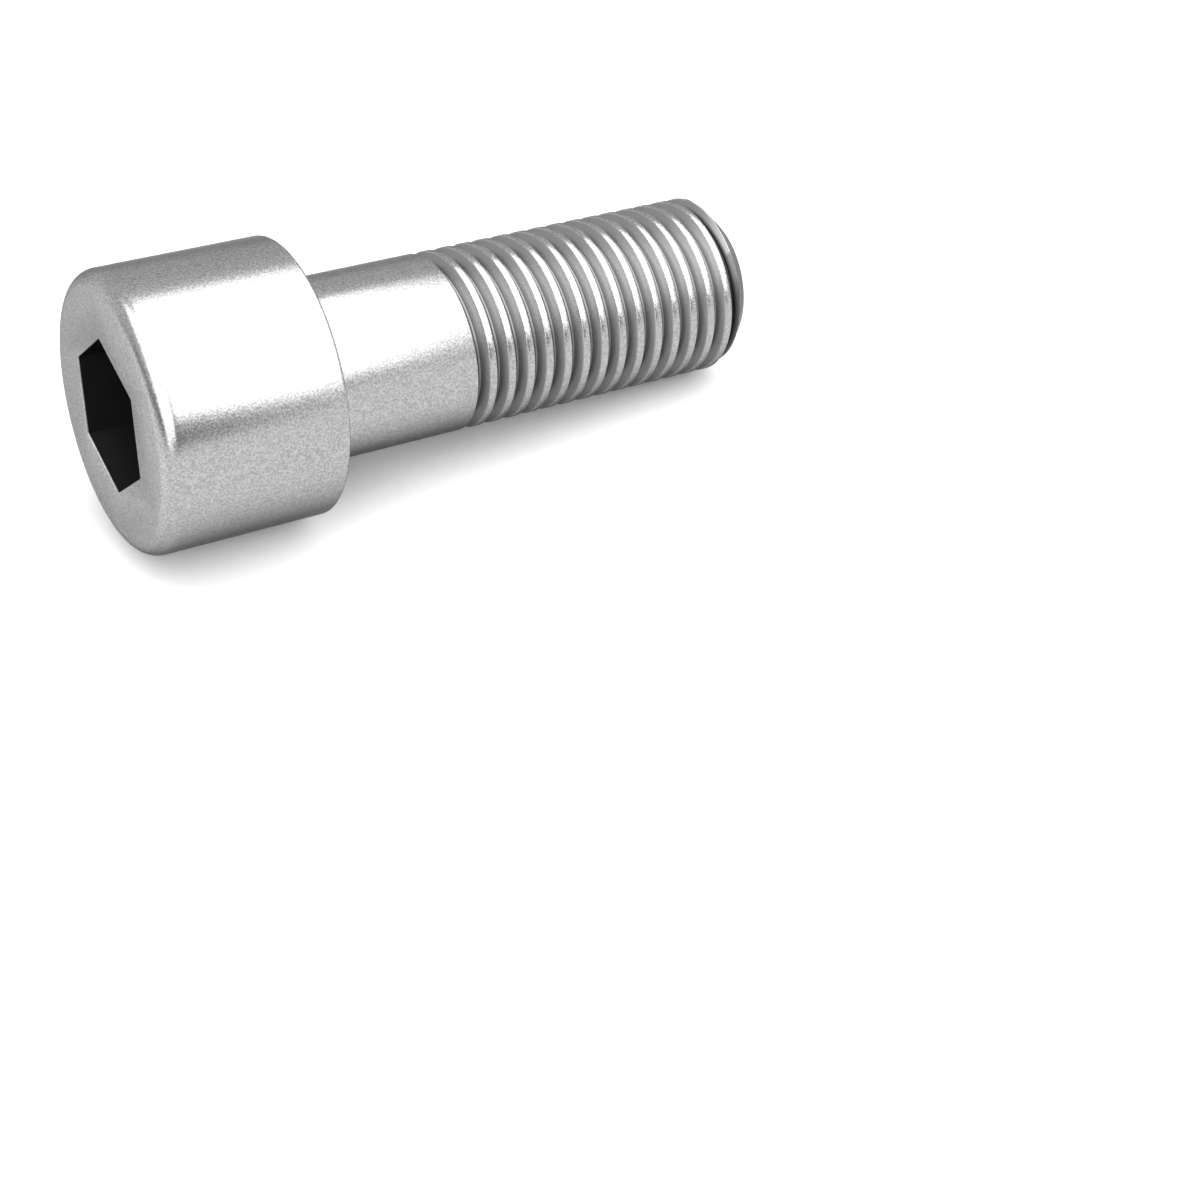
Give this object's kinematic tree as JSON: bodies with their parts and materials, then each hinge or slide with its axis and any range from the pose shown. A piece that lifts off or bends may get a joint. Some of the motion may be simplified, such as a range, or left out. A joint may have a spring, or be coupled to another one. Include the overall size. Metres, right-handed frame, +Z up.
{
  "type": "hexagon socket head cap screw",
  "caption": "Hexagon socket head cap screw with a plain cylindrical head, plain shank and coarse right-hand thread, lying on its side.",
  "frame": {"origin": "centre of the bounding box's bottom, on the floor that the screw lies on", "axes": "+X from the head to the tip and +Z up; the screw's axis dips 5.7 degrees below +X, because it rests on its head's rear rim and its last crest"},
  "size_m": [0.1126, 0.045, 0.0474],
  "materials": {
    "steel": "plain steel with a fine satin grain"
  },
  "bodies": {
    "root": {"cap_screw": "steel"}
  },
  "joints": []
}
